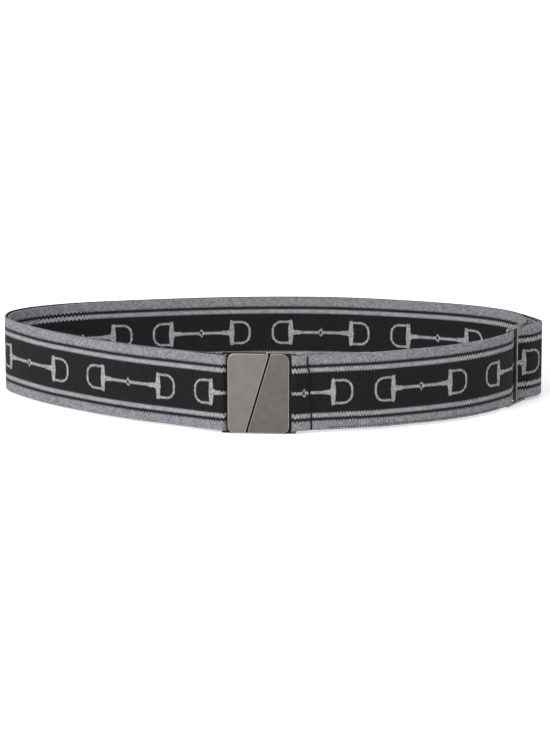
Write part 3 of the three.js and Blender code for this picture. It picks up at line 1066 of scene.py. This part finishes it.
def cast_plate(outlines, front, thick, rim, place, wear_and_shade_at=everywhere):
    """A plate from its outline and slots, with its rims rounded, carried to its place."""
    bm = bmesh.new()
    for corners in outlines:
        draw_outline(bm, corners)
    bmesh.ops.delete(bm, geom=bm.faces[:], context="FACES_ONLY")
    bmesh.ops.triangle_fill(bm, use_beauty=True, use_dissolve=True, edges=bm.edges[:])
    bmesh.ops.translate(bm, vec=(0, front, 0), verts=bm.verts)
    thicken(bm, (0, thick, 0))
    bmesh.ops.dissolve_limit(bm, angle_limit=FLAT, verts=bm.verts, edges=bm.edges)
    rims = [e for e in bm.edges if len(e.link_faces) == 2 and e.calc_face_angle(0) > SHARP]
    # Marks how much rim colour each rim takes: rubbed wear on the buckle, painted shade on the slide
    rim_wear_and_shade = bm.faces.layers.float.new("rim_wear_and_shade")
    for face in round_off(bm, rims, rim, RIM_SEGMENTS, clamp=True):
        face[rim_wear_and_shade] = 1.0 if wear_and_shade_at(face.calc_center_median().z) else RIM_IN_PAINTED_SHADE
    bmesh.ops.transform(bm, matrix=place, verts=bm.verts)
    return bm


# %% [markdown]
# ## The buckle's two faces
# The front of the buckle is two plates that meet on a slant, with a narrow dark gap between them.
# The outer corners are well rounded, the corners at the slant are nearly sharp. Each plate
# is the casting that the hand holds, so its rim is rubbed bright. The right plate is painted a
# little darker than the left, as painted shade.

# %% Face plates
FACE_CORNERS = {"left_low": 3.2, "left_high": 3.6, "right_low": 3.7, "right_high": 3.8}
FACE_CORNERS.update(sharp=0.9, blunt=1.2)
FACE_RIM = 0.33
face_low = (BUCKLE["frame_height"] - BUCKLE["face_height"]) / 2
face_high = face_low + BUCKLE["face_height"]


def join_at(height):
    """Where the slanting gap is, at a height."""
    share = height / BUCKLE["frame_height"]
    return BUCKLE["join_bottom"] + share * (BUCKLE["join_top"] - BUCKLE["join_bottom"])


def face_outline(side):
    """The outline of one face plate: side -1 is the left one, 1 the right."""
    half_gap = side * BUCKLE["join_gap"] / 2
    low_join, high_join = join_at(face_low) + half_gap, join_at(face_high) + half_gap
    left, right = BUCKLE["face_left"], BUCKLE["face_right"]
    if side < 0:
        return [
            (left, face_low, FACE_CORNERS["left_low"]),
            (low_join, face_low, FACE_CORNERS["sharp"]),
            (high_join, face_high, FACE_CORNERS["blunt"]),
            (left, face_high, FACE_CORNERS["left_high"]),
        ]
    return [
        (low_join, face_low, FACE_CORNERS["blunt"]),
        (right, face_low, FACE_CORNERS["right_low"]),
        (right, face_high, FACE_CORNERS["right_high"]),
        (high_join, face_high, FACE_CORNERS["sharp"]),
    ]


def make_face(side, name, material):
    bm = cast_plate([face_outline(side)], 0.0, BUCKLE["face_thick"], FACE_RIM, to_buckle)
    finish_piece(bm, name, material)


make_face(-1, "buckle_left_face", metals["old_pewter_left"])
# The right face takes the darker copy of the pewter, painted shade
make_face(1, "buckle_right_face", metals["old_pewter_painted_shade"])

# %% [markdown]
# ## The frames behind the faces
# Behind each face plate a frame carries the strap: a bar at the outside, two short rails, and a slot
# for the strap between them. The right frame reaches a little way under the left face, so no light
# comes through the slanting gap. The left frame has a pocket that the hook's lip drops into.
# The frames are painted nearly black: painted shade for the recess behind the faces, seen through
# the gap and the slots. Their rims keep it too, except along their top and bottom, where they are rubbed
# bright.

# %% Buckle frames
FRAME_RIM = 0.4
RUBBED_OVER = 1.35
SLOT_CORNER = 0.3
POCKET_ROOM = 0.4
HOOK_LIP = 1.6


def frame_outlines(side):
    outer_edge = side * BUCKLE["frame_width"] / 2
    shift = side * STRAP["gap"] / 2 - BUCKLE["join_underlap"]
    height = BUCKLE["frame_height"]
    blunt, sharp = FACE_CORNERS["blunt"], FACE_CORNERS["sharp"]
    outer_corners = [(outer_edge, 0.0, blunt), (outer_edge, height, blunt)]
    join_corners = [(join_at(height) + shift, height, sharp), (join_at(0) + shift, 0.0, sharp)]
    slot_ends = sorted([outer_edge - side * BUCKLE["bar"], side * BUCKLE["slot_inner"]])
    slot = box_corners(*slot_ends, BUCKLE["rail"], height - BUCKLE["rail"], SLOT_CORNER)
    return [outer_corners + join_corners, slot]


def top_or_bottom(height):
    """True for the parts of a frame's rims that cloth and fingers reach. The rims between keep the
    painted shade.
    """
    return not RUBBED_OVER < height < BUCKLE["frame_height"] - RUBBED_OVER


def make_frame(side, name, node):
    outlines = frame_outlines(side)
    if side < 0:
        pocket = [BUCKLE["hook_to"] - POCKET_ROOM, BUCKLE["hook_to"] + HOOK_LIP + POCKET_ROOM]
        heights = [BUCKLE["hook_low"] - POCKET_ROOM, BUCKLE["hook_high"] + POCKET_ROOM]
        outlines.append(box_corners(*pocket, *heights, SLOT_CORNER))
    front, thick = BUCKLE["face_thick"], BUCKLE["frame_thick"]
    bm = cast_plate(outlines, front, thick, FRAME_RIM, to_buckle, top_or_bottom)
    # The frames' near-black colour is painted shade
    made = finish_piece(bm, name, metals["old_pewter_behind_painted_shade"])
    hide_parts(node)


make_frame(-1, "buckle_left_frame", "buckle_left")
make_frame(1, "buckle_right_frame", "buckle_right")

# %% [markdown]
# ## The hook
# On the back, a flat tongue from the right half reaches behind the left half, and its lip drops into
# the pocket there. Pulling the belt tight keeps it in, and sliding the halves apart frees it.
# Its profile is drawn once as eight corners and extruded to its height.

# %% Hook
HOOK = {"thick": 1.2, "root_wide": 3.0, "lip_from_face": 0.7, "rim": 0.3}


def make_hook():
    body_back = BUCKLE["face_thick"] + BUCKLE["frame_thick"]
    near = body_back + STRAP["gap"]
    back = near + HOOK["thick"]
    lip_in = BUCKLE["face_thick"] + HOOK["lip_from_face"]
    root = BUCKLE["hook_from"] - HOOK["root_wide"]
    left, right = BUCKLE["hook_to"], BUCKLE["hook_from"]
    profile = [
        (left, back),
        (left, lip_in),
        (left + HOOK_LIP, lip_in),
        (left + HOOK_LIP, near),
        (root, near),
        (root, body_back),
        (right, body_back),
        (right, back),
    ]
    bm = bmesh.new()
    low = BUCKLE["hook_low"]
    bm.faces.new([bm.verts.new((across, depth, low)) for across, depth in profile])
    thicken(bm, (0, 0, BUCKLE["hook_high"] - low))
    rim_wear_and_shade = bm.faces.layers.float.new("rim_wear_and_shade")
    for face in round_off(bm, bm.edges[:], HOOK["rim"], RIM_SEGMENTS, clamp=True):
        face[rim_wear_and_shade] = 1.0
    bmesh.ops.transform(bm, matrix=to_buckle, verts=bm.verts)
    # The hook takes the right face's pewter, painted darker as painted shade
    finish_piece(bm, "buckle_hook", metals["old_pewter_painted_shade"])


make_hook()

# %% [markdown]
# ## The slide
# The slide has three bars. The strap passes over the near bar, under the middle one and over the far
# one. The flats of the bars are painted light as a painted highlight, and their rims dark as painted
# shade.
# It is the same kind of casting as the buckle's frames, with two slots.

# %% Slide
SLIDE_RIM = 0.45


def make_slide():
    half = SLIDE["bar_pitch"] + SLIDE["bar"] / 2
    outlines = [box_corners(-half, half, 0.0, SLIDE["height"], SLIDE["corner"])]
    heights = [SLIDE["rail"], SLIDE["height"] - SLIDE["rail"]]
    for middle in (-SLIDE["bar_pitch"] / 2, SLIDE["bar_pitch"] / 2):
        half_slot = (SLIDE["bar_pitch"] - SLIDE["bar"]) / 2
        outlines.append(box_corners(middle - half_slot, middle + half_slot, *heights, SLOT_CORNER))
    # Every rim of the slide takes its dark rim colour, painted shade
    bm = cast_plate(outlines, -SLIDE["thick"] / 2, SLIDE["thick"], SLIDE_RIM, to_slide)
    made = finish_piece(bm, "slide_frame", metals["dark_pewter"])
    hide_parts("slide")


make_slide()
